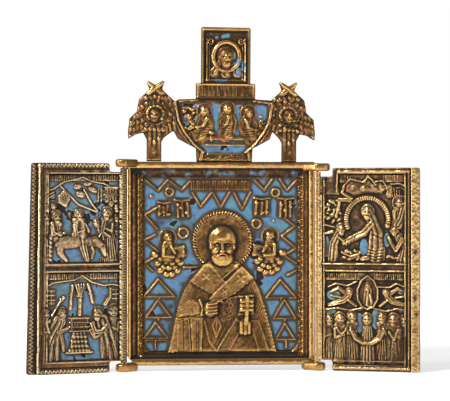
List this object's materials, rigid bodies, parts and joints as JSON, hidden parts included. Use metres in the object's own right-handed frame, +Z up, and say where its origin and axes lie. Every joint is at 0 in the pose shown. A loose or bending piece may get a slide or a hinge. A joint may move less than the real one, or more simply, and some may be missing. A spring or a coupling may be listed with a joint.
{
  "type": "folding triptych icon",
  "caption": "Cast brass travelling icon with a crowned centre panel in low relief and two hinged wings that fold over it.",
  "frame": {"origin": "on the ground, under the middle of the box of the whole with its wings at rest", "axes": "+Z up, +X to the right as seen from the front; the front faces -Y"},
  "size_m": [0.1632, 0.0216, 0.1448],
  "materials": {
    "centre_panel": "worn cast brass, brown in the hollows, with blue enamel in the cells",
    "left_wing": "worn cast brass with blue enamel behind the figures",
    "right_wing": "worn cast brass with a few remains of turquoise enamel",
    "pins": "dull grey iron"
  },
  "bodies": {
    "panel": {"centre_panel": "centre_panel", "left_lower_pin": "pins", "left_upper_pin": "pins", "right_lower_pin": "pins", "right_upper_pin": "pins"},
    "left_leaf": {"left_wing": "left_wing"},
    "right_leaf": {"right_wing": "right_wing"}
  },
  "joints": [
    {"name": "left_wing_hinge", "type": "hinge", "parent": "panel", "child": "left_leaf", "pos_m": [-0.04127, 0.00403, 0], "axis": [0, 0, 1], "range_deg": [-18, 162]},
    {"name": "right_wing_hinge", "type": "hinge", "parent": "panel", "child": "right_leaf", "pos_m": [0.04033, 0.00403, 0], "axis": [0, 0, -1], "range_deg": [-18, 162]}
  ]
}
